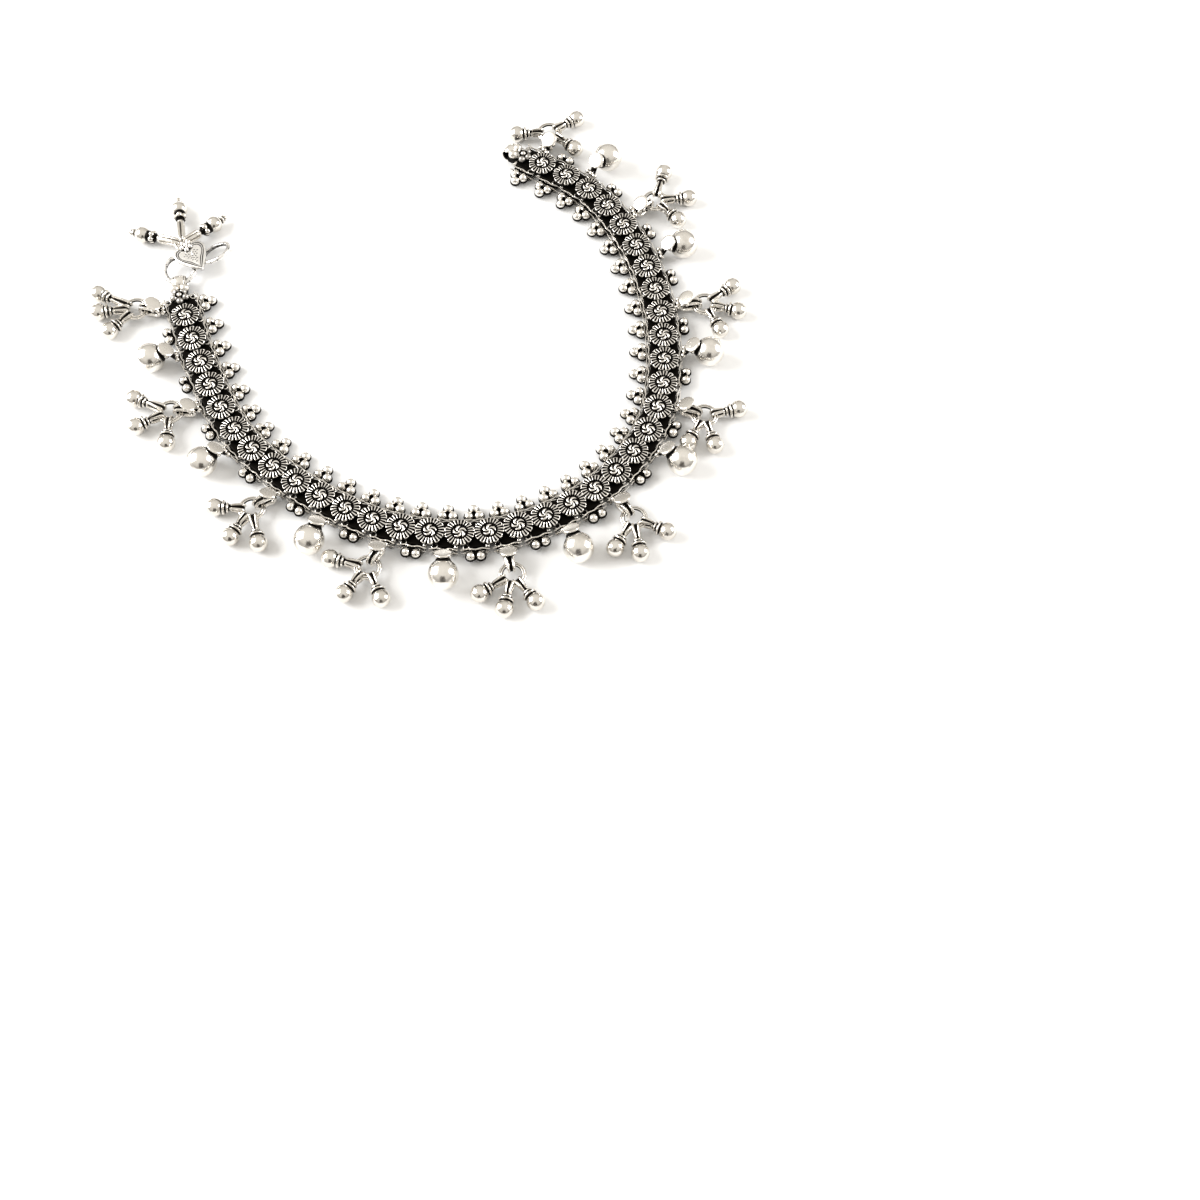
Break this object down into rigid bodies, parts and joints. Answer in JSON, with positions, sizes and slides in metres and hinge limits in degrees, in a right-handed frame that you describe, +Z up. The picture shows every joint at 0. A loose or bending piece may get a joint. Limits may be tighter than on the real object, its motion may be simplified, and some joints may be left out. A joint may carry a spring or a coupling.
{
  "type": "payal anklet",
  "caption": "Flexible payal anklet of linked rosettes with granule trefoils, round bells, clustered drops and a heart-plate hook, lying open in a horseshoe.",
  "frame": {"origin": "under the middle of the anklet's box, on the surface that it lies on", "axes": "+Z up; +X across the horseshoe, from the hook's side to the free side; +Y from the closed bend towards the two open ends"},
  "size_m": [0.156, 0.142, 0.0068],
  "materials": {
    "antiqued_band": "oxidised white metal: polished highs, near-black recesses",
    "polished_bell": "softly polished warm white metal with fine scuffs and a dark seam",
    "antiqued_drop": "warm white metal, oxidised in the collars' grooves",
    "polished_hook": "satin white metal wire and plate, oxidised in the plate's grooves"
  },
  "bodies": {
    "root": {"link_01": "antiqued_band", "link_02": "antiqued_band", "link_03": "antiqued_band", "link_04": "antiqued_band", "link_05": "antiqued_band", "link_06": "antiqued_band", "link_07": "antiqued_band", "link_08": "antiqued_band", "link_09": "antiqued_band", "link_10": "antiqued_band", "link_11": "antiqued_band", "link_12": "antiqued_band", "link_13": "antiqued_band", "link_14": "antiqued_band", "link_15": "antiqued_band", "link_16": "antiqued_band", "link_17": "antiqued_band", "link_18": "antiqued_band", "link_19": "antiqued_band", "link_20": "antiqued_band", "link_21": "antiqued_band", "link_22": "antiqued_band", "link_23": "antiqued_band", "link_24": "antiqued_band", "link_25": "antiqued_band", "link_26": "antiqued_band", "link_27": "antiqued_band", "link_28": "antiqued_band", "link_29": "antiqued_band", "link_30": "antiqued_band", "link_31": "antiqued_band", "link_32": "antiqued_band", "link_33": "antiqued_band", "link_34": "antiqued_band", "link_35": "antiqued_band", "link_36": "antiqued_band", "link_37": "antiqued_band", "bell_01": "polished_bell", "bell_02": "polished_bell", "bell_03": "polished_bell", "bell_04": "polished_bell", "bell_05": "polished_bell", "bell_06": "polished_bell", "bell_07": "polished_bell", "bell_08": "polished_bell", "bell_09": "polished_bell", "drop_cluster_01": "antiqued_drop", "drop_cluster_02": "antiqued_drop", "drop_cluster_03": "antiqued_drop", "drop_cluster_04": "antiqued_drop", "drop_cluster_05": "antiqued_drop", "drop_cluster_06": "antiqued_drop", "drop_cluster_07": "antiqued_drop", "drop_cluster_08": "antiqued_drop", "drop_cluster_09": "antiqued_drop", "drop_cluster_10": "antiqued_drop", "clasp_end": "antiqued_band", "free_end": "antiqued_band", "clasp_hook": "polished_hook", "clasp_charms": "antiqued_drop"}
  },
  "joints": []
}
